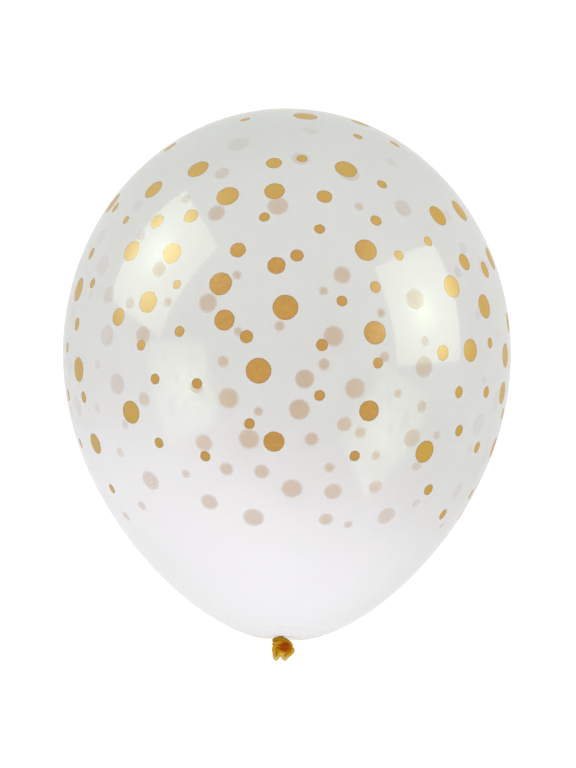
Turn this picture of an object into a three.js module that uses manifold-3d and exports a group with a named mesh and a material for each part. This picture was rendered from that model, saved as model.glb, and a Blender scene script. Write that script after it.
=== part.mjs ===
// Clear latex balloon, blown up and tied off, lying on its side. Millimetres, +Z up.
// The long axis runs along Y, with the crown at +Y and the knot at -Y. The origin is the middle of
// the flat spot that the balloon rests on, under its widest circle.
// Envelope, neck, overhand knot and rolled mouth are one moulded skin, so they are one solid.

import * as THREE from 'three';
import { ParametricGeometry } from 'three/addons/geometries/ParametricGeometry.js';
import { mergeVertices } from 'three/addons/utils/BufferGeometryUtils.js';
import Module from 'manifold-3d';

// Envelope
const DIAMETER = 300; // widest circle
const LENGTH = 357.7; // crown to base, before the base is drawn in around the knot
const CROWN_FULLNESS = 0.095; // moves the widest circle towards the crown
const END_TAPER = -0.088; // slims both ends
const BASE_TAPER = 0.049; // slims the base and rounds the crown
const NAVEL_DEPTH = 3; // the knot draws the base in
const NAVEL_RADIUS = 13;
const FLAT_SPOT = 38; // width of the patch that rests on the floor

// Knot, measured from the base's pole in body axes: X right, Y towards the crown, Z up
const STRAND = 3.5; // diameter of the gathered neck
const KNOT_CENTRE = new THREE.Vector3(-2.6, 2.8, 0);
const KNOT_PULL = new THREE.Vector3(0.95, 0.78, 0.9); // the knot is pulled tight along the neck
// Route of the gathered neck through an overhand knot, in strand diameters
const KNOT_ROUTE = [
	[-0.2, 1.0, 0.0],
	[-0.3, -0.2, 0.0],
	[-0.35, -1.3, 0.0],
	[-0.2, -2.2, -0.2],
	[0.6, -2.75, -0.4],
	[1.55, -2.45, -0.15],
	[1.85, -1.65, 0.3],
	[1.2, -0.9, 1.0],
	[0.0, -0.65, 1.25],
	[-1.2, -0.9, 0.9],
	[-1.6, -1.25, 0.0],
	[-1.0, -1.5, -0.95],
	[0.05, -1.6, -1.15],
	[0.72, -1.75, -0.7],
	[0.78, -1.85, 0.1],
	[0.5, -2.0, 0.9],
	[0.1, -2.5, 1.1],
];

// Rolled mouth: a flattened bell that hangs from the knot and ends in a bead with two lobes
const MOUTH_PINCH = new THREE.Vector3(-3, -3.4, 3.6); // where the bell leaves the knot
const RIM_CENTRE_X = -2.6;
const RIM_CENTRE_Z = 3.6;
const RIM_HALF_WIDTH = 6.6;
const RIM_HALF_DEPTH = 2.6;
const CREASE_WIDTH = 1.5; // the bell is creased between its lobes
const CREASE_SHARE = 0.6;
const RIM_Y = -9.3; // middle of the bead at the notch between the lobes
const LOBE_DROP = 2.3;
const LOBE_SPACING = 6;
const NOTCH_X = -3.9;
const ELBOW_START_X = 0.5; // beyond here the rim is folded up towards the knot
const ELBOW_LIFT = 2.8;
const BEAD_RADIUS = 1.1;
const BEAD_WRAP = 2; // radians that the roll turns to either side of its lowest point
const WEB_HALF_THICKNESS = 0.35;

// Mesh fineness
const AROUND = 64;
const NAVEL_STEPS = 4;
const BODY_STEPS = 36;
const STRAND_SIDES = 10;
const STRAND_STEPS = 76;
const MOUTH_AROUND = 36;
const MOUTH_ACROSS = 15;
const WELD = 1e-4;

const wasm = await Module();
wasm.setup();

// Radius of the pear for xi from -1 (base) to +1 (crown), before it is scaled to the diameter:
// an ellipse times a cubic
function pearRadius(xi) {
	const cubic = 1 + CROWN_FULLNESS * xi + END_TAPER * xi ** 2 + BASE_TAPER * xi ** 3;
	return Math.sqrt(Math.max(0, 1 - xi * xi)) * cubic;
}

// The widest place on the pear, found by walking along the axis
function widestPlace() {
	const steps = 4000;
	let best = 0;
	for (let i = 1; i < steps; i++) {
		const xi = (2 * i) / steps - 1;
		if (pearRadius(xi) > pearRadius(best)) {
			best = xi;
		}
	}
	return best;
}

const WIDEST_XI = widestPlace();
const RADIUS_SCALE = DIAMETER / 2 / pearRadius(WIDEST_XI);
const AXIS_HEIGHT = Math.sqrt((DIAMETER / 2) ** 2 - (FLAT_SPOT / 2) ** 2);
const POLE_Y = (-(1 + WIDEST_XI) * LENGTH) / 2; // base pole, with the widest circle at y = 0

// A point of the envelope's profile, as (radius, y), for an angle from 0 (base) to pi (crown)
function profilePoint(angle) {
	const xi = -Math.cos(angle);
	const radius = RADIUS_SCALE * pearRadius(xi);
	const fromNavel = xi < 0 ? Math.min(1, radius / NAVEL_RADIUS) : 1;
	const drawnIn = (NAVEL_DEPTH * (1 + Math.cos(Math.PI * fromNavel))) / 2;
	return new THREE.Vector2(radius, ((xi - WIDEST_XI) * LENGTH) / 2 + drawnIn);
}

// Envelope turned around Y, with finer rings where the base is drawn in
function envelope() {
	const navelAngle = NAVEL_RADIUS / (RADIUS_SCALE * (1 - CROWN_FULLNESS + END_TAPER - BASE_TAPER));
	const points = [];
	for (let i = 0; i < NAVEL_STEPS; i++) {
		points.push(profilePoint((navelAngle * i) / NAVEL_STEPS));
	}
	for (let i = 0; i <= BODY_STEPS; i++) {
		points.push(profilePoint(navelAngle + ((Math.PI - navelAngle) * i) / BODY_STEPS));
	}
	points[0].x = 0;
	points[points.length - 1].x = 0;
	return new THREE.LatheGeometry(points, AROUND);
}

// Gathered neck: a round strand swept along the overhand route
function knotStrand() {
	const route = KNOT_ROUTE.map(
		([x, y, z]) =>
			new THREE.Vector3(x, y, z)
				.multiplyScalar(STRAND)
				.multiply(KNOT_PULL)
				.add(KNOT_CENTRE)
				.add(new THREE.Vector3(0, POLE_Y, 0)),
	);
	const section = new THREE.Shape().absarc(0, 0, STRAND / 2, 0, 2 * Math.PI);
	return new THREE.ExtrudeGeometry(section, {
		extrudePath: new THREE.CatmullRomCurve3(route),
		steps: STRAND_STEPS,
		curveSegments: STRAND_SIDES / 2,
		bevelEnabled: false,
	});
}

// Middle of the rolled bead at an angle around the mouth: a flattened loop whose lower edge hangs in
// two lobes, folded up on the +X side
function rimPoint(angle) {
	const x = RIM_CENTRE_X + RIM_HALF_WIDTH * Math.cos(angle);
	const crease = CREASE_SHARE * Math.exp(-(((x - NOTCH_X) / CREASE_WIDTH) ** 2));
	const z = RIM_CENTRE_Z + RIM_HALF_DEPTH * (1 - crease) * Math.sin(angle);
	const fromNotch = THREE.MathUtils.clamp((x - NOTCH_X) / LOBE_SPACING, -1, 1);
	const drop = LOBE_DROP * Math.sin(Math.PI * fromNotch) ** 2;
	const rimEnd = RIM_CENTRE_X + RIM_HALF_WIDTH;
	const lift = ELBOW_LIFT * THREE.MathUtils.smoothstep(x, ELBOW_START_X, rimEnd);
	return new THREE.Vector3(x, RIM_Y - drop + lift, z);
}

// Rolled mouth as one closed surface: out along the bell's outside, round the bead, back up inside.
// The bell's wall runs from the pinch to the rim along a quarter ellipse.
function rolledMouth() {
	const webShare = 0.4; // of the way across, for each side of the wall
	const webReach = 0.85; // of the quarter ellipse, where the bead takes over
	const outward = new THREE.Vector3();
	const surface = (u, v, target) => {
		const rim = rimPoint(2 * Math.PI * u);
		outward.set(rim.x - MOUTH_PINCH.x, 0, rim.z - MOUTH_PINCH.z).normalize();
		const inside = v > 0.5;
		const share = inside ? 1 - v : v;
		if (share <= webShare) {
			const turn = (Math.PI / 2) * webReach * (share / webShare);
			const side = inside ? -WEB_HALF_THICKNESS : WEB_HALF_THICKNESS;
			target.set(
				THREE.MathUtils.lerp(MOUTH_PINCH.x, rim.x, Math.sin(turn)),
				THREE.MathUtils.lerp(rim.y, MOUTH_PINCH.y, Math.cos(turn)) + side * Math.cos(turn),
				THREE.MathUtils.lerp(MOUTH_PINCH.z, rim.z, Math.sin(turn)),
			);
			target.addScaledVector(outward, side * Math.sin(turn));
		} else {
			const roll = (BEAD_WRAP * (0.5 - v)) / (0.5 - webShare);
			target.copy(rim).addScaledVector(outward, BEAD_RADIUS * Math.sin(roll));
			target.y -= BEAD_RADIUS * Math.cos(roll);
		}
		target.y += POLE_Y;
	};
	return new ParametricGeometry(surface, MOUTH_AROUND, MOUTH_ACROSS);
}

// A closed geometry as a solid: vertices welded, triangles that are only a line at a pole dropped
function solidFrom(geometry) {
	geometry.deleteAttribute('normal');
	geometry.deleteAttribute('uv');
	const welded = mergeVertices(geometry, WELD);
	const corners = welded.index.array;
	const triangles = [];
	for (let i = 0; i < corners.length; i += 3) {
		const [a, b, c] = corners.slice(i, i + 3);
		if (a !== b && b !== c && c !== a) {
			triangles.push(a, b, c);
		}
	}
	return new wasm.Manifold(
		new wasm.Mesh({
			numProp: 3,
			vertProperties: new Float32Array(welded.attributes.position.array),
			triVerts: new Uint32Array(triangles),
		}),
	);
}

function geometryFrom(solid) {
	const mesh = solid.getMesh();
	const geometry = new THREE.BufferGeometry();
	geometry.setAttribute('position', new THREE.BufferAttribute(mesh.vertProperties, 3));
	geometry.setIndex(new THREE.BufferAttribute(mesh.triVerts, 1));
	geometry.computeVertexNormals();
	return geometry;
}

// The flat spot is where the floor cuts a thin slice off the envelope
const floorSlice = new THREE.BoxGeometry(DIAMETER, LENGTH, DIAMETER);
floorSlice.translate(0, 0, -AXIS_HEIGHT - DIAMETER / 2);

const skin = solidFrom(envelope())
	.subtract(solidFrom(floorSlice))
	.add(solidFrom(knotStrand()))
	.add(solidFrom(rolledMouth()));

const clearLatex = new THREE.MeshStandardMaterial({
	color: 0xe6e6e4,
	roughness: 0.12,
	metalness: 0,
	transparent: true,
	opacity: 0.45,
});

const balloon = new THREE.Mesh(geometryFrom(skin), clearLatex);
balloon.name = 'balloon';
balloon.position.z = AXIS_HEIGHT;

const part = new THREE.Group();
part.add(balloon);

export default part;
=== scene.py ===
import math

import bpy
import numpy as np
from mathutils import Matrix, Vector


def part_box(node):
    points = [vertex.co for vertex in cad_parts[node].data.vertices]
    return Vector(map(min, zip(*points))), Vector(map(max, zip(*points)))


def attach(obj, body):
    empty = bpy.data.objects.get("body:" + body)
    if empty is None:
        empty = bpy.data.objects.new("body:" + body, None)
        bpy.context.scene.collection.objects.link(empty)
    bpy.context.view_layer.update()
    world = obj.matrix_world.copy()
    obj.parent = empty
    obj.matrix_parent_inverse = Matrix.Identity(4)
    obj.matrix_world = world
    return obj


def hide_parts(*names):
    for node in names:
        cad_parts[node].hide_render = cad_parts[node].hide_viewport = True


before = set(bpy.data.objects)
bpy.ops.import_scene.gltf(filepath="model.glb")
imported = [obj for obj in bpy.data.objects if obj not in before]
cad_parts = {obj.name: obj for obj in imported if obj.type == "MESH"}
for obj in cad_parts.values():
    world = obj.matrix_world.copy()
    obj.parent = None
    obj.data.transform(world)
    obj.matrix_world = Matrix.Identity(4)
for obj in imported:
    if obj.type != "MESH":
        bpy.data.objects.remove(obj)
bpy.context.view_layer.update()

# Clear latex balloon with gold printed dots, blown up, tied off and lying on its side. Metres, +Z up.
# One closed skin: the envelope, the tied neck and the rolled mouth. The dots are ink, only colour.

MM = 0.001
TURN = 2 * math.pi
FINE_STEPS = 4001  # for a place that is found by trying many

# Envelope, from the frame: the long axis runs along Y, with the widest circle at y = 0
LOW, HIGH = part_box("balloon")
RADIUS = (HIGH.x - LOW.x) / 2
AXIS_HEIGHT = HIGH.z - RADIUS
CROWN_Y = HIGH.y
CROWN_FULLNESS = 0.095  # moves the widest circle towards the crown
END_TAPER = -0.088  # slims both ends
BASE_TAPER = 0.049  # slims the base and rounds the crown
NAVEL_DEPTH = 3.4 * MM  # the knot draws the base in
NAVEL_RADIUS = 20 * MM
FLAT_SPOT_ROUNDING = 0.3 * MM  # the skin leaves the floor in a small curve
PLEAT_COUNT = 23  # shallow pleats that run out from the knot
PLEAT_HEIGHT = 0.1 * MM
PLEAT_REACH = 17 * MM
PLEAT_SWAY = 2  # radians by which the pleats stray from even spacing
PLEAT_SWAY_COUNT = 3
SPIRAL_SHARE = 0.6  # height of the second set of pleats, which spiral, against the first
SPIRAL_COUNT = 14
SPIRAL_TURN = 120  # radians that they would turn out to the widest circle

# Knot, in millimetres from the base's pole: X right, Y towards the crown, Z up
STRAND = 3 * MM  # diameter of the gathered neck
FOLD_COUNT = 7  # folds of film that run along the gathered neck
FOLD_DEPTH = 0.08  # of the strand's radius
FOLD_TWIST = 14  # radians that the folds turn from end to end
BROAD_FOLD_COUNT = 3  # broader folds, half as deep, which turn the other way twice as fast
# Route of the gathered neck: down, up again on the right, two and a half times round itself and into
# the mouth
KNOT_ROUTE = np.array((
    (-3.2, 7.0, 0.0),
    (-3.6, 2.0, 0.3),
    (-4.0, -1.0, 0.5),
    (-3.6, -3.4, 0.2),
    (-1.4, -4.9, -0.3),
    (1.6, -4.6, -0.2),
    (2.4, -2.9, 0.8),
    (0.6, -0.9, 2.8),
    (-1.8, 0.6, 4.3),
    (-4.6, 1.1, 4.7),
    (-7.2, 0.8, 2.9),
    (-8.1, 0.4, 0.2),
    (-6.4, 0.0, -2.4),
    (-3.6, -0.4, -3.3),
    (-0.9, -0.8, -1.9),
    (-0.2, -1.0, 0.6),
    (-1.6, -1.3, 3.2),
    (-4.4, -1.2, 4.4),
    (-7.2, -1.6, 3.0),
    (-8.2, -2.1, 0.4),
    (-6.4, -2.7, -2.0),
    (-3.4, -3.1, -2.4),
    (-0.2, -3.4, -1.4),
    (1.3, -3.6, 0.8),
    (0.4, -3.9, 3.0),
    (-2.0, -4.0, 3.8),
    (-4.3, -3.7, 3.0),
    (-4.0, -4.3, 0.8),
)) * MM
NECK = np.array((-3.5, 2, 0)) * MM  # where the film gathers into the knot
KNOT_CORE = np.array((-1.4, -3.9, 4.2)) * MM  # the thickest rubber, darkened further by painted shade where the strand passes under

# Rolled mouth: a pinched bell that hangs from the knot. Its rolled bead is a closed loop with two tips
# below, a notch between them and an elbow on the right.
MOUTH_PINCH = np.array((-4.2, -4.6, 2.0)) * MM
MOUTH_LOOP = np.array((
    (-6.3, -3.1, 2.6),
    (-8.5, -4.8, 2.8),
    (-8.1, -8.2, 3.0),
    (-7.9, -10.9, 3.1),
    (-7.0, -12.0, 3.2),
    (-6.1, -10.9, 3.3),
    (-5.1, -9.2, 3.3),
    (-3.8, -8.9, 3.3),
    (-2.6, -10.4, 3.3),
    (-1.5, -12.0, 3.3),
    (0.2, -10.4, 3.1),
    (2.2, -8.6, 2.9),
    (3.8, -6.6, 2.4),
    (3.4, -5.2, 1.4),
    (1.2, -4.9, 0.4),
    (-2.0, -6.2, -0.6),
    (-5.0, -5.4, -0.2),
)) * MM
MOUTH_WEB = np.array((-3.3, -8.3, 3.8)) * MM  # the thin web above the notch
BEAD_RADIUS = 1.3 * MM
BEAD_WRAP = 2.6  # radians that the roll turns to either side of its outermost line
WEB_HALF_THICKNESS = 0.45 * MM
WEB_GROWTH = 0.25  # share of the way to the bead over which the wall reaches that thickness
BELL_SWELL = 0.8 * MM  # how far the bell bulges between the pinch and its longest tip

# Mesh fineness
ENVELOPE_AROUND = 256
ENVELOPE_RINGS = 150
RING_CROWDING = 1.25  # above 1, rings lie closer together towards the base
STRAND_AROUND = 56
STRAND_RINGS = 320
MOUTH_AROUND = 160
WEB_RINGS = 24
BEAD_RINGS = 16
KNOT_VOXEL = 0.18 * MM  # fineness at which the strand and the mouth are fused
KNOT_SMOOTHING = 5
KNOT_SMOOTHING_SHARE = 0.5
CREASE_ROUNDS = 12  # how far around a vertex its neighbours are averaged

# Camera, read from the photograph: it looks down on the lying balloon, tipped towards the knot
IMAGE_WIDTH = 576
IMAGE_HEIGHT = 768
AIM_PIXEL = (286.9, 373.8)  # where the middle of the long axis shows
FOCAL_PIXELS = 2460
CAMERA_DISTANCE = 1.65
CAMERA_TIP = math.radians(11)
SENSOR = 36.0
SIGHT_REACH = 1.2  # half lengths to either side of the middle in which the walls are looked for
IMAGE_RIGHT = np.array((1.0, 0.0, 0.0))
IMAGE_UP = np.array((0.0, math.cos(CAMERA_TIP), math.sin(CAMERA_TIP)))
TO_CAMERA = np.array((0.0, -math.sin(CAMERA_TIP), math.cos(CAMERA_TIP)))

# Printed dots: diameter in millimetres, and the pixels of the photograph where their middles show.
# The near wall faces the camera, and the far wall is seen through it.
NEAR_WALL_DOTS = {
    15.8: (
        (459.5, 210.5), (490.5, 258.5), (112.5, 203), (305.5, 116), (505.5, 355.5),
        (78.5, 369.5), (78.5, 289.5), (285.5, 307.3), (258.5, 370.7), (484.5, 306.3),
    ),
    14.6: (
        (502.5, 393), (375, 332.7), (470.5, 350.3), (346, 169), (227.5, 196),
        (424.7, 451.7), (438, 215.5), (366, 250), (452, 286.5), (493.3, 447.5),
        (220.5, 283.7), (198, 169), (131, 412.2),
    ),
    13.8: ((148, 302), (131.7, 251), (95.5, 443.8), (172, 253), (153.5, 189.5)),
    13.0: ((274.5, 191), (508, 322.5), (369, 410.8), (224.5, 320), (274, 441.6), (360, 123)),
    11.3: ((485, 269.5), (464.5, 262), (276.5, 265.5), (118.5, 316.8)),
    10.0: (
        (443, 352.7), (157, 221.5), (191, 216), (324.5, 196.5), (274, 163), (238, 250),
        (170, 147),
    ),
    8.2: (
        (91.5, 253.5), (68.5, 395.3), (461, 515.3), (297, 255.5), (502.5, 414), (77, 324),
        (246.5, 336.5),
    ),
    7.5: (
        (477, 447.5), (443, 514.4), (322, 345), (376, 220.5), (459, 430.7), (375.5, 287),
        (83.8, 397.2), (486.3, 392.2), (428.5, 489.7), (459, 392.2), (471, 494.3), (395, 144),
        (115.5, 207.5),
    ),
    6.8: (
        (264.5, 217), (112, 488.7), (319.5, 229), (342, 301), (205.3, 456.2), (197, 383.5),
        (80.7, 443.3), (92.5, 283.3), (490, 343), (245, 119.5), (141, 345), (382, 184.3),
        (302, 158.5), (378, 363), (358, 136.5), (399, 255.5), (179.5, 331.5), (428, 241.3),
        (249.5, 423.6), (319.5, 395.5), (67.5, 347.5), (155, 379), (159, 442.8), (354.7, 456),
    ),
    5.8: ((177, 284.5), (126, 220)),
}
FAR_WALL_DOTS = {
    16.0: ((238, 144), (349, 172.5), (102.5, 265.5), (478.5, 424.5)),
    14.8: (
        (333.5, 336), (292, 488.7), (253.5, 517.5), (355, 388.3), (107, 335.5), (150.5, 480.5),
        (424, 367), (299.3, 409.6), (117, 384), (278, 206), (415, 299), (228.5, 398), (249, 439),
    ),
    13.7: ((412.5, 438), (386.5, 515.8), (208, 303), (304.7, 379), (403, 208)),
    12.7: (
        (143, 335), (342, 275), (204, 443), (301, 158.5), (108.5, 295), (333, 491.5),
        (209.5, 502), (457.5, 490.5), (216.5, 213),
    ),
    10.8: ((159, 269), (222, 173), (261.6, 471.6), (344.5, 424.3), (310.5, 130.5)),
    9.8: (
        (144, 399), (226.5, 469), (391.5, 162), (311.5, 439), (463, 248), (375.2, 487),
        (196.5, 387), (326, 519.4),
    ),
    8.2: (
        (130, 303), (141, 236), (458, 272), (478, 314), (324, 364.2), (360.5, 432.6),
        (422, 406.5), (223, 361.3),
    ),
    7.2: (
        (120, 452.5), (97, 408), (142, 505.6), (384.5, 357), (329.5, 467.5), (376, 455.5),
        (416.5, 466), (186, 199), (279.5, 326), (484, 380), (126, 516),
    ),
    6.2: (
        (125, 424.5), (97.5, 364.5), (323.5, 291), (398, 393.5), (381, 313), (416, 503),
        (258.3, 411.3), (470, 449), (238, 331.5), (237, 275), (425, 341), (442, 525),
        (168, 302), (348.2, 524.5), (359, 206.5), (186, 474), (437, 435),
    ),
}

# The photograph shows both sides only edge on, so their dots are guessed: diameter, and then the side,
# the place along the axis and the height above it, in millimetres
SIDE_DOTS = {
    14.6: ((1, -26, -36), (1, 66, -28), (-1, -30, -36), (-1, 84, -16)),
    13.0: ((1, -66, -28), (1, 40, -2), (-1, -4, -24), (-1, 30, -20)),
    10.0: ((1, -6, -6), (1, 104, -34), (-1, 58, 6), (-1, 112, -36)),
    8.2: ((1, 86, 6), (-1, -38, -14)),
    6.8: ((1, -48, -10), (1, 20, -34), (1, 62, 10), (-1, 8, 2), (-1, 50, -44), (-1, 102, 8)),
}

# Film. A pair gives where a change starts and where it is full.
NOISE = (0.3, 0.7)  # span in which most of a noise's values lie
WIDE_NOISE = (0.25, 0.75)
CLEAR_VEIL = (0.53, 0.511, 0.505, 1)  # tone of the stretched film
CROWN_PAINTED_SHADE = (0.385, 0.405, 0.355, 1)  # painted shade, a little darker towards the crown, for the dimmer room that the film reflects there
MILKY_AND_REFLECTED_VEIL = (0.83, 0.77, 0.89, 1)  # less stretched film near the base, also lightened by a painted reflection of bright surroundings below
MILKY_SHADE = (0.58, 0.55, 0.60, 1)  # painted shade at its edge seen aslant, most of all on the +X side
AMBER_FILM = (0.90, 0.80, 0.52, 1)  # where it gathers into the knot
CROWN_Y_SPAN = (70 * MM, 160 * MM)
MILK_Y_SPAN = (-18 * MM, -150 * MM)
MILK_SLANT = 0.36  # the milky end starts further up on the -X side
MILK_BEND = 1.3  # and further down at both sides than in the middle
SHADE_X_SPAN = (15 * MM, 80 * MM)
SHADE_LEAST = 0.4  # share of the shade that is left on the -X side
SHADE_ASLANT = (0.3, 0.75)
NECK_REACH = (19 * MM, 9 * MM)
CLEAR_ALPHA = 0.31
MILKY_ALPHA = 0.21
NECK_ALPHA = 0.18  # more film where it gathers
FAR_WALL_ALPHA = 0.05  # more film seen from inside, so that its gloss shows through the near wall
EDGE_ALPHA = 0.5  # seen edge on, light passes through more film
MILKY_EDGE_ALPHA = 0.38
EDGE_POWER = 3.0
CLOUD_ALPHA = 0.02  # more or less film in soft clouds
CLOUD_SCALE = 11
CLOUD_DETAIL = 2
FILM_ROUGHNESS = 0.085
NECK_ROUGHNESS = 0.5
ROUGH_REACH = (45 * MM, 20 * MM)  # from the neck
FILM_IOR = 1.7
FILM_SPECULAR = 0.8
GLOSS_TINT = (0.85, 1.0, 0.66, 1)
RIPPLE_SCALE = 16
RIPPLE_DETAIL = 1
RIPPLE_STRENGTH = 0.1
RIPPLE_HEIGHT = 1 * MM

# Ink. Places at a dot's edge are in millimetres beyond it.
GOLD = (0.55, 0.225, 0.009, 1)
GOLD_LIGHT = (0.61, 0.275, 0.015, 1)
GOLD_SHEEN = (0.66, 0.375, 0.05, 1)  # painted sheen, lighter and yellower seen aslant
GOLD_SHEEN_LIT = (0.69, 0.365, 0.003, 1)  # painted light, deeper on the +X side, which the stronger right panel lights
SHEEN_X_SPAN = (30 * MM, 100 * MM)
SHEEN_ASLANT = (0.04, 0.36)
GOLD_RIM = (0.30, 0.12, 0.008, 1)
RIM_EDGE = (-1.0, 0.1)
RIM_SHARE = 0.7
GOLD_FROM_BEHIND = (0.68, 0.34, 0.09, 1)
GOLD_COVER = 0.99
GOLD_COVER_FROM_BEHIND = 0.73
CRISP_EDGE = (0.2, -0.2)
BLURRED_EDGE = (1.3, -1.5)
DOT_WOBBLE = 0.16  # how far a dot's edge strays from a circle
WOBBLE_SCALE = 600
WOBBLE_DETAIL = 1
FAR_DOT_ASLANT = (0.1, 0.6)
GOLD_LEFT_ASLANT = 0.2  # share of a far dot that still shows through film seen edge on
GOLD_LEFT_MILKY = 0.8  # and through milky film
GRAIN_SCALE = 420
GRAIN_DETAIL = 3
INK_ROUGHNESS = (0.32, 0.4)  # with the grain

# Unstretched latex of the knot and the mouth. Heights are along Y from the base's pole, and creases are
# in millimetres below their surroundings.
AMBER = (0.59, 0.29, 0.002, 1)
# dark orange of the thick rubber deep in the knot, with painted shade where the strand passes under
AMBER_THICK_AND_SHADED = (0.43, 0.066, 0.0003, 1)
# painted shade in the creases
AMBER_CREASE_SHADE = (0.38, 0.10, 0.0005, 1)
# paler tone of the streaks, and a painted highlight on the ridges
AMBER_STREAK_AND_LIT_RIDGE = (0.72, 0.44, 0.014, 1)
AMBER_PALE = (0.76, 0.60, 0.22, 1)
AMBER_WEB = (0.92, 0.66, 0.07, 1)
# painted shade on the arch, where it lies close under the film
AMBER_ARCH_SHADE = (0.36, 0.19, 0.004, 1)
TIPS_HEIGHT = (-8.5 * MM, -13 * MM)
ARCH_HEIGHT = (-2 * MM, 1 * MM)
ARCH_SHADE_SHARE = 0.8
WEB_REACH = (2.6 * MM, 0.9 * MM)
WEB_SHARE = 0.8
CORE_REACH = (5.4 * MM, 2.2 * MM)
LIT_RIDGE_DEPTH = (0.0, -0.12)
CREASE_DEPTH = (0.0, 0.1)
CREASE_SHADE_SHARE = 0.85
STREAK_SCALE = 900
STREAK_DETAIL = 2
STREAK_SHARE = 0.4
LATEX_ROUGHNESS = (0.28, 0.4)  # with the streaks
LATEX_SPECULAR = 0.05
SKIN_SCALE = 1500
SKIN_DETAIL = 2
SKIN_STRENGTH = 0.2
SKIN_HEIGHT = 0.15 * MM

# Soft light panels to the left and right, just out of view, and the room around them. A panel's core
# is given as shares of its width and height.
PANELS = {
    "left_panel": {
        "radiance": 5.2,
        "place": (-0.488, 0.288, 0.373),
        "width": 0.45,
        "height": 0.435,
        "turn": math.radians(-17),
        "core": (0.46, 0.45),
    },
    "right_panel": {
        "radiance": 5.9,
        "place": (0.540, 0.133, 0.393),
        "width": 0.405,
        "height": 0.43,
        "turn": math.radians(7),
        "core": (0.47, 0.57),
    },
}
PANEL_CORE = 0.9  # share of that radiance at a panel's core, and far from it
PANEL_EDGE = 0.32
PANEL_CORE_REACH = 0.95
PANEL_LAMP = 0.55  # and what the lamp behind the cloth adds around the core
PANEL_LAMP_REACH = 0.28
ROOM_ABOVE = 0.95
ROOM_AROUND = 0.8
FLOOR_COLOUR = (0.5, 0.5, 0.5, 1)
FLOOR_ROUGHNESS = 0.9
FLOOR_GLOW = 0.68  # as the camera sees it
FLOOR_GLOW_NEAR = 0.42  # as it lights the balloon and shows in its gloss, near by and further off
FLOOR_GLOW_FAR = 0.12
FLOOR_GLOW_REACH = (0.25, 0.8)
FLOOR_GAP = 0.3 * MM
FLOOR_REACH = 6.0
WHITE = (1, 1, 1, 1)


def unit(vectors):
    """Each vector divided by its length."""
    vectors = np.asarray(vectors, float)
    return vectors / np.linalg.norm(vectors, axis=-1, keepdims=True)


def smooth_rise(value, low, high):
    """0 up to low, 1 from high on, and a cubic S-curve between."""
    share = np.clip((value - low) / (high - low), 0, 1)
    return share * share * (3 - 2 * share)


def pear_share(xi):
    """Radius of the pear at xi, from -1 at the base to +1 at the crown: an ellipse times a cubic."""
    cubic = 1 + CROWN_FULLNESS * xi + END_TAPER * xi**2 + BASE_TAPER * xi**3
    return np.sqrt(np.clip(1 - xi * xi, 0, None)) * cubic


XI_SAMPLES = np.linspace(-1, 1, FINE_STEPS)
WIDEST_XI = XI_SAMPLES[np.argmax(pear_share(XI_SAMPLES))]
HALF_LENGTH = CROWN_Y / (1 - WIDEST_XI)
POLE = np.array((0.0, -(1 + WIDEST_XI) * HALF_LENGTH, AXIS_HEIGHT))  # of the base
AIM = np.array((0.0, -WIDEST_XI * HALF_LENGTH, AXIS_HEIGHT))  # middle of the long axis
CAMERA_PLACE = AIM + CAMERA_DISTANCE * TO_CAMERA


def pear_radius(y):
    """The pear's radius at a height y along the long axis, scaled so that its widest circle is RADIUS."""
    xi = np.clip(y / HALF_LENGTH + WIDEST_XI, -1, 1)
    return RADIUS * pear_share(xi) / pear_share(WIDEST_XI)


def closed_rings(rings):
    """Vertices and faces of a closed skin: rings of points joined by quads, with the first and the
    last ring each drawn together to one pole."""
    count, around = rings.shape[:2]
    poles = rings[[0, -1]].mean(axis=1)
    vertices = np.vstack((rings[1:-1].reshape(-1, 3), poles))
    first_pole = len(vertices) - 2
    index = np.arange((count - 2) * around).reshape(count - 2, around)
    turned = np.roll(index, -1, axis=1)
    quads = np.stack((index[:-1], turned[:-1], turned[1:], index[1:]), axis=-1).reshape(-1, 4)
    first = np.stack((np.full(around, first_pole), turned[0], index[0]), axis=-1)
    last = np.stack((index[-1], turned[-1], np.full(around, first_pole + 1)), axis=-1)
    return vertices, quads.tolist() + first.tolist() + last.tolist()


def skin_object(name, skins):
    """One mesh object from several closed skins."""
    vertices = []
    faces = []
    for skin_vertices, skin_faces in skins:
        start = sum(len(v) for v in vertices)
        vertices.append(skin_vertices)
        faces.extend([corner + start for corner in face] for face in skin_faces)
    mesh = bpy.data.meshes.new(name)
    mesh.from_pydata(np.vstack(vertices).tolist(), [], faces)
    mesh.update()
    piece = bpy.data.objects.new(name, mesh)
    bpy.context.scene.collection.objects.link(piece)
    return piece


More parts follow.
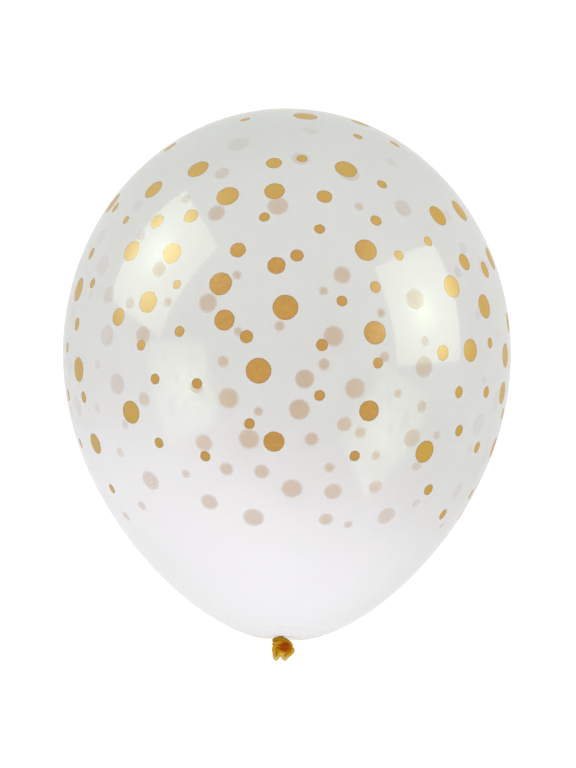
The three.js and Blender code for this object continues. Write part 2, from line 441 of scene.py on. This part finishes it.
def envelope():
    """The pear turned around its long axis. The base is drawn in around the neck by half a cosine out to
    the navel's radius. It carries two sets of shallow cosine pleats, straight and spiralling, that fade
    away from the knot as a bell curve. Where the floor would cut the skin, its height is a smooth maximum
    of itself and the floor."""
    share = np.linspace(0, 1, ENVELOPE_RINGS)[:, None]
    xi = -np.cos(math.pi * share**RING_CROWDING)
    angle = np.linspace(0, TURN, ENVELOPE_AROUND, endpoint=False)[None, :]
    y = (xi - WIDEST_XI) * HALF_LENGTH
    radius = pear_radius(y)
    x = radius * np.sin(angle)
    z = AXIS_HEIGHT + radius * np.cos(angle)
    from_neck = np.hypot(x - NECK[0], z - AXIS_HEIGHT)
    from_navel = np.where(xi < 0, np.minimum(1, from_neck / NAVEL_RADIUS), 1)
    drawn_in = NAVEL_DEPTH * (1 + np.cos(math.pi * from_navel)) / 2
    fade = np.where(xi < 0, np.exp(-((radius / PLEAT_REACH) ** 2)), 0)
    straight = np.cos(PLEAT_COUNT * angle + PLEAT_SWAY * np.sin(PLEAT_SWAY_COUNT * angle))
    spiral = np.cos(SPIRAL_COUNT * angle - SPIRAL_TURN * radius / RADIUS)
    uneven = straight + SPIRAL_SHARE * spiral
    pleats = PLEAT_HEIGHT * fade * smooth_rise(radius, 0, NAVEL_RADIUS / 2) * uneven
    z = (z + np.sqrt(z * z + FLAT_SPOT_ROUNDING**2)) / 2
    y = y + drawn_in + pleats
    return closed_rings(np.stack((x, y, z), axis=-1))


def smooth_route(points, samples, closed=False):
    """A centripetal Catmull-Rom curve through the points: on each stretch a cubic whose slopes at both
    ends come from the square roots of the neighbouring distances."""
    if closed:
        padded = np.vstack((points[-1], points, points[:2]))
    else:
        padded = np.vstack((2 * points[0] - points[1], points, 2 * points[-1] - points[-2]))
    step = np.sqrt(np.linalg.norm(np.diff(padded, axis=0), axis=1))[:, None]
    slope = np.diff(padded, axis=0) / step
    across = (padded[2:] - padded[:-2]) / (step[1:] + step[:-1])
    tangent = slope[:-1] - across + slope[1:]
    last = len(padded) - 3
    place = np.linspace(0, last, samples, endpoint=not closed)
    stretch = np.minimum(place.astype(int), last - 1)
    t = (place - stretch)[:, None]
    span = step[stretch + 1]
    return (
        padded[stretch + 1] * (1 + 2 * t) * (1 - t) ** 2
        + tangent[stretch] * span * t * (1 - t) ** 2
        + padded[stretch + 2] * t * t * (3 - 2 * t)
        + tangent[stretch + 1] * span * t * t * (t - 1)
    )


def carried_sides(path):
    """Two directions square to a path at each of its points, carried along it without twisting."""
    along = unit(np.gradient(path, axis=0))
    side = np.empty_like(along)
    side[0] = unit(np.cross(along[0], (0.0, 0.0, 1.0)))
    for i in range(1, len(path)):
        side[i] = unit(side[i - 1] - along[i] * (side[i - 1] @ along[i]))
    return side, np.cross(along, side)


def knot_strand():
    """The gathered neck: a round section carried along the overhand route, with two sets of cosine folds
    that twist in opposite directions as they run along it."""
    path = smooth_route(KNOT_ROUTE + POLE, STRAND_RINGS)
    side, other = carried_sides(path)
    along = np.linspace(0, 1, STRAND_RINGS)[:, None]
    angle = np.linspace(0, TURN, STRAND_AROUND, endpoint=False)[None, :]
    folds = 1 + FOLD_DEPTH * np.cos(FOLD_COUNT * angle + FOLD_TWIST * along)
    folds = folds + FOLD_DEPTH / 2 * np.cos(BROAD_FOLD_COUNT * angle - 2 * FOLD_TWIST * along)
    radius = STRAND / 2 * folds
    radius[[0, -1]] = 0
    rings = (
        path[:, None]
        + (radius * np.cos(angle))[..., None] * side[:, None]
        + (radius * np.sin(angle))[..., None] * other[:, None]
    )
    return closed_rings(rings)


def rolled_mouth():
    """The bell and its bead as one closed surface. The bead is most of a circle around its loop, square to
    it. The wall is a fan of lines from the pinch to where that circle is left open. The lines swell
    outwards by half a sine, more where the fan is longer, and the wall thickens by a cubic to meet the
    bead. Rings run out along its outside, round the bead and back along its inside."""
    loop = smooth_route(MOUTH_LOOP, MOUTH_AROUND, closed=True)
    along = unit(np.roll(loop, -1, axis=0) - np.roll(loop, 1, axis=0))
    away = loop - MOUTH_PINCH
    outward = unit(away - along * (away * along).sum(axis=1, keepdims=True))
    side = np.cross(along, outward)
    fan = away + BEAD_RADIUS * math.cos(BEAD_WRAP) * outward
    reach = np.linspace(0, 1, WEB_RINGS)[:, None, None]
    length = np.linalg.norm(fan, axis=1, keepdims=True)
    swell = BELL_SWELL * (length / length.max()) ** 2 * np.sin(math.pi * reach)
    wall = MOUTH_PINCH + reach * fan - swell * side
    thin = WEB_HALF_THICKNESS * np.minimum(1, reach / WEB_GROWTH)
    offset = (thin + (BEAD_RADIUS * math.sin(BEAD_WRAP) - thin) * reach**3) * side
    roll = np.linspace(BEAD_WRAP, -BEAD_WRAP, BEAD_RINGS)[:, None, None]
    bead = loop + BEAD_RADIUS * (np.cos(roll) * outward + np.sin(roll) * side)
    rings = np.concatenate(((wall + offset)[:-1], bead, (wall - offset)[-2::-1]))
    return closed_rings(rings + POLE)


def applied_modifiers(piece):
    """Puts the result of a piece's modifiers into its mesh."""
    evaluated = piece.evaluated_get(bpy.context.evaluated_depsgraph_get())
    mesh = bpy.data.meshes.new_from_object(evaluated)
    piece.modifiers.clear()
    old = piece.data
    piece.data = mesh
    bpy.data.meshes.remove(old)


def largest_skin(mesh):
    """Vertices and quads of a mesh without the specks and bubbles that a fusing grid leaves. Each vertex
    takes the lowest number among its neighbours, over and over, until every closed skin has one number.
    The skin with most vertices stays."""
    edges = np.empty((len(mesh.edges), 2), np.int32)
    mesh.edges.foreach_get("vertices", edges.ravel())
    here, there = edges.T
    number = np.arange(len(mesh.vertices))
    while True:
        lowest = number.copy()
        np.minimum.at(lowest, here, number[there])
        np.minimum.at(lowest, there, number[here])
        lowest = lowest[lowest]
        if np.array_equal(lowest, number):
            break
        number = lowest
    kept = number == np.bincount(number).argmax()
    points = np.empty((len(mesh.vertices), 3))
    mesh.vertices.foreach_get("co", points.ravel())
    corners = np.empty(len(mesh.loops), np.int32)
    mesh.loops.foreach_get("vertex_index", corners)
    quads = corners.reshape(-1, 4)
    quads = quads[kept[quads[:, 0]]]
    return points[kept], (np.cumsum(kept) - 1)[quads].tolist()


def fused_balloon(film, latex):
    """The envelope, with the neck and mouth fused to each other on a fine grid and then joined to it."""
    loose = skin_object("loose_knot", (knot_strand(), rolled_mouth()))
    fuse = loose.modifiers.new("fuse", "REMESH")
    fuse.mode = "VOXEL"
    fuse.voxel_size = KNOT_VOXEL
    soften = loose.modifiers.new("soften", "SMOOTH")
    soften.factor = KNOT_SMOOTHING_SHARE
    soften.iterations = KNOT_SMOOTHING
    applied_modifiers(loose)
    knot = skin_object("knot", (largest_skin(loose.data),))
    knot.data.materials.append(latex)
    bpy.data.objects.remove(loose)

    balloon = skin_object("clear_balloon", (envelope(),))
    balloon.data.materials.append(film)
    join = balloon.modifiers.new("join", "BOOLEAN")
    join.operation = "UNION"
    join.solver = "EXACT"
    join.material_mode = "TRANSFER"
    join.object = knot
    applied_modifiers(balloon)
    bpy.data.objects.remove(knot)
    balloon.data.polygons.foreach_set("use_smooth", np.ones(len(balloon.data.polygons), bool))
    balloon.data.update()
    return balloon


def wall_points(pixels, far):
    """Where the sight lines through pixels of the photograph first meet the pear, or last leave it."""
    across, down = np.transpose(pixels) - np.array(AIM_PIXEL)[:, None]
    sight = unit(
        across[:, None] / FOCAL_PIXELS * IMAGE_RIGHT - down[:, None] / FOCAL_PIXELS * IMAGE_UP - TO_CAMERA
    )
    reach = CAMERA_DISTANCE + np.linspace(-SIGHT_REACH, SIGHT_REACH, FINE_STEPS) * HALF_LENGTH
    places = CAMERA_PLACE + reach[:, None] * sight[:, None]
    x, y, z = np.moveaxis(places, -1, 0)
    within = np.hypot(x, z - AXIS_HEIGHT) < pear_radius(y)
    hit = np.argmax(within, axis=1)
    if far:
        hit = len(reach) - 1 - np.argmax(within[:, ::-1], axis=1)
    return places[np.arange(len(places)), hit]


def side_points(places):
    """Points of the pear at a place along its axis and a height above it, on the side that is asked for:
    the third side of a right-angled triangle with the radius there and that height."""
    side, y, height = np.transpose(places)
    across = np.sqrt(pear_radius(y * MM) ** 2 - (height * MM) ** 2)
    return np.stack((side * across, y * MM, AXIS_HEIGHT + height * MM), axis=-1)


def skin_normals(points):
    """Outward directions of the pear: away from the axis, leaning by the slope of its radius."""
    x, y, z = points.T
    slope = (pear_radius(y + MM) - pear_radius(y - MM)) / (2 * MM)
    radius = np.hypot(x, z - AXIS_HEIGHT)
    return unit(np.stack((x / radius, -slope, (z - AXIS_HEIGHT) / radius), axis=-1))


def print_dots(balloon):
    """Stores on every face corner where it lies from the middle of the nearest dot, measured along the
    skin in two square directions, and that dot's radius, all in millimetres."""
    middles = []
    radii = []
    for dots, far in ((NEAR_WALL_DOTS, False), (FAR_WALL_DOTS, True)):
        for diameter, pixels in dots.items():
            middles.append(wall_points(pixels, far))
            radii.append(np.full(len(pixels), diameter / 2))
    for diameter, places in SIDE_DOTS.items():
        middles.append(side_points(places))
        radii.append(np.full(len(places), diameter / 2))
    middles = np.concatenate(middles) / MM
    radii = np.concatenate(radii)
    normals = skin_normals(middles * MM)
    side = unit(np.cross(normals, IMAGE_RIGHT + TO_CAMERA))
    other = np.cross(normals, side)

    mesh = balloon.data
    points = np.empty((len(mesh.vertices), 3), np.float32)
    mesh.vertices.foreach_get("co", points.ravel())
    points = points / MM
    corner_vertex = np.empty(len(mesh.loops), np.int32)
    mesh.loops.foreach_get("vertex_index", corner_vertex)
    corners_per_face = np.empty(len(mesh.polygons), np.int32)
    mesh.polygons.foreach_get("loop_total", corners_per_face)
    face_middle = np.empty((len(mesh.polygons), 3), np.float32)
    mesh.polygons.foreach_get("center", face_middle.ravel())
    face_middle = face_middle / MM

    squares = (face_middle**2).sum(1)[:, None] + (middles**2).sum(1) - 2 * face_middle @ middles.T
    nearest = np.argmin(np.sqrt(np.clip(squares, 0, None)) - radii, axis=1)
    dot = np.repeat(nearest, corners_per_face)
    away = points[corner_vertex] - middles[dot]
    values = np.stack(((away * side[dot]).sum(1), (away * other[dot]).sum(1), radii[dot]), axis=-1)
    attribute = mesh.attributes.new("print", "FLOAT_VECTOR", "CORNER")
    attribute.data.foreach_set("vector", values.astype(np.float32).ravel())


def note_creases(balloon):
    """Stores on every vertex how far it lies below the average of its surroundings, measured outwards
    in millimetres: above zero in creases, below zero on ridges. Averaging with the neighbours along the
    edges, several times over, gives the surroundings."""
    mesh = balloon.data
    points = np.empty((len(mesh.vertices), 3))
    mesh.vertices.foreach_get("co", points.ravel())
    outward = np.empty((len(mesh.vertices), 3))
    mesh.vertex_normals.foreach_get("vector", outward.ravel())
    edges = np.empty((len(mesh.edges), 2), np.int32)
    mesh.edges.foreach_get("vertices", edges.ravel())
    here = np.concatenate((edges[:, 0], edges[:, 1]))
    there = np.concatenate((edges[:, 1], edges[:, 0]))
    count = np.bincount(here, minlength=len(points))
    around = points
    for _ in range(CREASE_ROUNDS):
        sums = [np.bincount(here, around[there, axis], len(points)) for axis in range(3)]
        around = np.stack(sums, axis=-1) / count[:, None]
    depth = ((around - points) * outward).sum(axis=1) / MM
    attribute = mesh.attributes.new("crease", "FLOAT", "POINT")
    attribute.data.foreach_set("value", depth.astype(np.float32))


class Finish:
    """A material's node tree, with short calls for the nodes that the finishes use."""

    def __init__(self, name):
        self.material = bpy.data.materials.new(name)
        self.material.use_nodes = True
        self.tree = self.material.node_tree
        self.shader = self.tree.nodes["Principled BSDF"]
        self.place = self.add("TexCoord").outputs["Object"]

    def add(self, kind, inputs=(), **settings):
        """A new node with its settings, and its inputs linked or set."""
        made = self.tree.nodes.new("ShaderNode" + kind)
        for name, value in settings.items():
            setattr(made, name, value)
        for socket, value in dict(inputs).items():
            self.give(made.inputs[socket], value)
        return made

    def give(self, socket, value):
        """Links a socket to an output, or sets its own value."""
        if isinstance(value, bpy.types.NodeSocket):
            self.tree.links.new(value, socket)
        else:
            socket.default_value = value

    def set(self, **values):
        """Links or sets the Principled shader's sockets; a name's underscores stand for spaces."""
        for name, value in values.items():
            self.give(self.shader.inputs[name.replace("_", " ")], value)

    def sum_of(self, a, b):
        return self.add("Math", {0: a, 1: b}, operation="ADD").outputs[0]

    def product(self, a, b):
        return self.add("Math", {0: a, 1: b}, operation="MULTIPLY").outputs[0]

    def rise(self, value, low, high, bottom=0.0, top=1.0):
        """bottom up to low, top from high on, and a smooth step between."""
        inputs = {"Value": value, "From Min": low, "From Max": high, "To Min": bottom, "To Max": top}
        return self.add("MapRange", inputs, interpolation_type="SMOOTHSTEP").outputs[0]

    def mix(self, share, a, b):
        """A number between a and b."""
        return self.add("Mix", {0: share, 2: a, 3: b}, data_type="FLOAT").outputs[0]

    def tint(self, share, a, b):
        """A colour between a and b."""
        return self.add("Mix", {0: share, 6: a, 7: b}, data_type="RGBA").outputs[2]

    def clouds(self, scale, detail):
        """Noise on Object coordinates, with scale as the number of clouds in a metre."""
        inputs = {"Vector": self.place, "Scale": scale, "Detail": detail}
        return self.add("TexNoise", inputs).outputs[0]

    def distance_from(self, point):
        """Distance from a point to the shaded place."""
        inputs = {0: self.place, 1: tuple(point)}
        return self.add("VectorMath", inputs, operation="DISTANCE").outputs["Value"]


def clear_film():
    """Glossy see-through film, milkier near the base, where a painted reflection also lightens it, with
    painted shade towards the crown and at the milky edge, yellowish at the knot, and gold ink dots with a
    painted sheen seen aslant. Seen from inside, a dot is paler and its edge is blurred by the film in front
    of it."""
    film = Finish("clear_film")
    axes = film.add("SeparateXYZ", {0: film.place})
    lean = film.sum_of(film.product(axes.outputs["X"], MILK_BEND), MILK_SLANT)
    slanted = film.sum_of(axes.outputs["Y"], film.product(axes.outputs["X"], lean))
    milk = film.rise(slanted, *MILK_Y_SPAN)
    cloud = film.rise(film.clouds(CLOUD_SCALE, CLOUD_DETAIL), *NOISE, -CLOUD_ALPHA, CLOUD_ALPHA)
    from_neck = film.distance_from(POLE + NECK)
    neck = film.rise(from_neck, *NECK_REACH)
    roughness = film.rise(from_neck, *ROUGH_REACH, FILM_ROUGHNESS, NECK_ROUGHNESS)
    # painted shade: the film's tone darkens towards the crown
    crown = film.rise(axes.outputs["Y"], *CROWN_Y_SPAN)
    # painted reflection: the milky film near the base is lightened
    veil = film.tint(milk, film.tint(crown, CLEAR_VEIL, CROWN_PAINTED_SHADE), MILKY_AND_REFLECTED_VEIL)
    aslant = film.add("LayerWeight", {"Blend": 0.5}).outputs["Facing"]
    # painted shade at the milky film's edge, most of all on the +X side
    shaded = film.product(milk, film.rise(axes.outputs["X"], *SHADE_X_SPAN, SHADE_LEAST))
    veil = film.tint(film.product(shaded, film.rise(aslant, *SHADE_ASLANT)), veil, MILKY_SHADE)
    veil = film.tint(neck, veil, AMBER_FILM)
    behind = film.add("NewGeometry").outputs["Backfacing"]
    cover = film.sum_of(film.mix(milk, CLEAR_ALPHA, MILKY_ALPHA), cloud)
    cover = film.sum_of(cover, film.product(behind, FAR_WALL_ALPHA))
    cover = film.sum_of(cover, film.product(neck, NECK_ALPHA))
    edge = film.add("Math", {0: aslant, 1: EDGE_POWER}, operation="POWER").outputs[0]
    cover = film.mix(edge, cover, film.mix(milk, EDGE_ALPHA, MILKY_EDGE_ALPHA))

    printed = film.add("Attribute", attribute_name="print").outputs["Vector"]
    from_dot = film.add("SeparateXYZ", {0: printed})
    flat = film.add("CombineXYZ", {0: from_dot.outputs[0], 1: from_dot.outputs[1]})
    length = film.add("VectorMath", {0: flat.outputs[0]}, operation="LENGTH").outputs["Value"]
    beyond = film.add("Math", {0: length, 1: from_dot.outputs[2]}, operation="SUBTRACT").outputs[0]
    wobble = film.rise(film.clouds(WOBBLE_SCALE, WOBBLE_DETAIL), *WIDE_NOISE, -DOT_WOBBLE, DOT_WOBBLE)
    beyond = film.sum_of(beyond, wobble)
    crisp = film.rise(beyond, *CRISP_EDGE)
    blurred = film.rise(beyond, *BLURRED_EDGE)
    left_aslant = film.rise(aslant, *FAR_DOT_ASLANT, 1.0, GOLD_LEFT_ASLANT)
    shown = film.mix(milk, left_aslant, GOLD_LEFT_MILKY)
    ink = film.mix(behind, crisp, film.product(blurred, shown))

    grain = film.rise(film.clouds(GRAIN_SCALE, GRAIN_DETAIL), *NOISE)
    gold = film.tint(grain, GOLD, GOLD_LIGHT)
    # painted sheen on the ink seen aslant, deeper on the +X side where the stronger panel lights it
    sheen = film.tint(film.rise(axes.outputs["X"], *SHEEN_X_SPAN), GOLD_SHEEN, GOLD_SHEEN_LIT)
    gold = film.tint(film.rise(aslant, *SHEEN_ASLANT), gold, sheen)
    gold = film.tint(film.rise(beyond, *RIM_EDGE, 0.0, RIM_SHARE), gold, GOLD_RIM)
    gold = film.tint(behind, gold, GOLD_FROM_BEHIND)
    ink_cover = film.mix(behind, GOLD_COVER, GOLD_COVER_FROM_BEHIND)
    waves = film.clouds(RIPPLE_SCALE, RIPPLE_DETAIL)
    ripple = film.add(
        "Bump",
        {"Height": waves, "Strength": RIPPLE_STRENGTH, "Distance": RIPPLE_HEIGHT},
    )
    film.set(
        Base_Color=film.tint(ink, veil, gold),
        Alpha=film.mix(ink, cover, ink_cover),
        Roughness=film.mix(ink, roughness, film.mix(grain, *INK_ROUGHNESS)),
        Normal=ripple.outputs[0],
        IOR=FILM_IOR,
        Specular_IOR_Level=FILM_SPECULAR,
        Specular_Tint=GLOSS_TINT,
    )
    return film.material


def amber_latex():
    """Unstretched latex: amber, with painted shade in the creases and on the arch above, dark orange deep
    in the knot from thick rubber and painted shade, a painted highlight on the ridges, paler in the mouth's
    web and towards its tips, with fine streaks and a soft gloss."""
    latex = Finish("amber_latex")
    along = latex.add("SeparateXYZ", {0: latex.place}).outputs["Y"]
    height = latex.sum_of(along, -POLE[1])
    tips = latex.rise(height, *TIPS_HEIGHT)
    web = latex.rise(latex.distance_from(POLE + MOUTH_WEB), *WEB_REACH, 0.0, WEB_SHARE)
    core = latex.rise(latex.distance_from(POLE + KNOT_CORE), *CORE_REACH)
    crease = latex.add("Attribute", attribute_name="crease").outputs["Fac"]
    streaks = latex.rise(latex.clouds(STREAK_SCALE, STREAK_DETAIL), *NOISE)
    colour = latex.tint(latex.product(streaks, STREAK_SHARE), AMBER, AMBER_STREAK_AND_LIT_RIDGE)
    # painted highlight on the ridges
    colour = latex.tint(latex.rise(crease, *LIT_RIDGE_DEPTH), colour, AMBER_STREAK_AND_LIT_RIDGE)
    colour = latex.tint(tips, colour, AMBER_PALE)
    colour = latex.tint(web, colour, AMBER_WEB)
    # thick rubber and painted shade deep in the knot
    colour = latex.tint(core, colour, AMBER_THICK_AND_SHADED)
    # painted shade on the arch under the film
    arch = latex.rise(height, *ARCH_HEIGHT, 0.0, ARCH_SHADE_SHARE)
    colour = latex.tint(arch, colour, AMBER_ARCH_SHADE)
    # painted shade in the creases
    colour = latex.tint(latex.rise(crease, *CREASE_DEPTH, 0.0, CREASE_SHADE_SHARE), colour, AMBER_CREASE_SHADE)
    grain = latex.clouds(SKIN_SCALE, SKIN_DETAIL)
    skin = latex.add(
        "Bump",
        {"Height": grain, "Strength": SKIN_STRENGTH, "Distance": SKIN_HEIGHT},
    )
    latex.set(
        Base_Color=colour,
        Roughness=latex.mix(streaks, *LATEX_ROUGHNESS),
        Normal=skin.outputs[0],
        Specular_IOR_Level=LATEX_SPECULAR,
    )
    return latex.material


def pale_floor():
    """Plain white floor that glows a little, as a lit studio table does, and less so onto the balloon."""
    paint = Finish("pale_floor")
    seen = paint.add("LightPath").outputs["Is Camera Ray"]
    from_middle = paint.distance_from((0, 0, 0))
    onto_film = paint.rise(from_middle, *FLOOR_GLOW_REACH, FLOOR_GLOW_NEAR, FLOOR_GLOW_FAR)
    paint.set(
        Base_Color=FLOOR_COLOUR,
        Roughness=FLOOR_ROUGHNESS,
        Specular_IOR_Level=0.0,
        Emission_Color=WHITE,
        Emission_Strength=paint.mix(seen, onto_film, FLOOR_GLOW),
    )
    mesh = bpy.data.meshes.new("floor")
    corners = [(-1, -1), (1, -1), (1, 1), (-1, 1)]
    places = [(FLOOR_REACH * x, FLOOR_REACH * y, -FLOOR_GAP) for x, y in corners]
    mesh.from_pydata(places, [], [(0, 1, 2, 3)])
    mesh.materials.append(paint.material)
    floor = bpy.data.objects.new("floor", mesh)
    bpy.context.scene.collection.objects.link(floor)


def light_panel(name, radiance, place, width, height, turn, core):
    """A soft panel that faces the middle of the widest circle, turned in its own plane. It is brightest
    at its core, given as shares of its width and height, where the lamp shows through its cloth, and dims
    smoothly away from it."""
    data = bpy.data.lights.new(name, "AREA")
    data.shape = "RECTANGLE"
    data.size = width
    data.size_y = height
    data.energy = radiance * math.pi * width * height
    data.use_nodes = True
    nodes = data.node_tree.nodes
    links = data.node_tree.links
    geometry = nodes.new("ShaderNodeNewGeometry")
    from_core = nodes.new("ShaderNodeVectorMath")
    from_core.operation = "DISTANCE"
    from_core.inputs[1].default_value = (*core, 0.0)
    links.new(geometry.outputs["Parametric"], from_core.inputs[0])
    strength = nodes.new("ShaderNodeMath")
    fades = ((PANEL_CORE_REACH, PANEL_CORE, PANEL_EDGE), (PANEL_LAMP_REACH, PANEL_LAMP, 0.0))
    for i, (reach, at_core, beyond) in enumerate(fades):
        fade = nodes.new("ShaderNodeMapRange")
        fade.interpolation_type = "SMOOTHSTEP"
        fade.inputs["From Max"].default_value = reach
        fade.inputs["To Min"].default_value = at_core
        fade.inputs["To Max"].default_value = beyond
        links.new(from_core.outputs["Value"], fade.inputs["Value"])
        links.new(fade.outputs[0], strength.inputs[i])
    links.new(strength.outputs[0], nodes["Emission"].inputs["Strength"])

    away = unit(np.array(place) - np.array((0.0, 0.0, AXIS_HEIGHT)))
    across = unit(np.cross((0.0, 0.0, 1.0), away))
    up = np.cross(away, across)
    turned_across = math.cos(turn) * across + math.sin(turn) * up
    turned_up = np.cross(away, turned_across)
    panel = bpy.data.objects.new(name, data)
    turned = Matrix(np.stack((turned_across, turned_up, away), axis=1)).to_4x4()
    panel.matrix_world = Matrix.Translation(place) @ turned
    panel.visible_camera = False
    panel.visible_diffuse = False
    bpy.context.scene.collection.objects.link(panel)


def pale_room():
    """A white room that is brighter overhead than around."""
    room = bpy.data.worlds.new("room")
    room.use_nodes = True
    nodes = room.node_tree.nodes
    links = room.node_tree.links
    direction = nodes.new("ShaderNodeTexCoord")
    axes = nodes.new("ShaderNodeSeparateXYZ")
    overhead = nodes.new("ShaderNodeMapRange")
    overhead.interpolation_type = "SMOOTHSTEP"
    overhead.inputs["To Min"].default_value = ROOM_AROUND
    overhead.inputs["To Max"].default_value = ROOM_ABOVE
    links.new(direction.outputs["Generated"], axes.inputs[0])
    links.new(axes.outputs["Z"], overhead.inputs["Value"])
    links.new(overhead.outputs[0], nodes["Background"].inputs["Strength"])
    nodes["Background"].inputs["Color"].default_value = WHITE
    return room


def studio():
    """The room's light, two soft panels and the camera."""
    scene = bpy.context.scene
    scene.view_settings.view_transform = "Standard"
    scene.world = pale_room()
    for name, panel in PANELS.items():
        light_panel(name, **panel)

    data = bpy.data.cameras.new("camera")
    data.sensor_width = SENSOR
    data.lens = FOCAL_PIXELS * SENSOR / IMAGE_HEIGHT
    data.shift_x = (IMAGE_WIDTH / 2 - AIM_PIXEL[0]) / IMAGE_HEIGHT
    data.shift_y = (AIM_PIXEL[1] - IMAGE_HEIGHT / 2) / IMAGE_HEIGHT
    camera = bpy.data.objects.new("camera", data)
    turned = Matrix(np.stack((IMAGE_RIGHT, IMAGE_UP, TO_CAMERA), axis=1)).to_4x4()
    camera.matrix_world = Matrix.Translation(CAMERA_PLACE) @ turned
    scene.collection.objects.link(camera)
    scene.camera = camera


balloon = fused_balloon(clear_film(), amber_latex())
print_dots(balloon)
note_creases(balloon)
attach(balloon, "root")
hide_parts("balloon")
pale_floor()
studio()
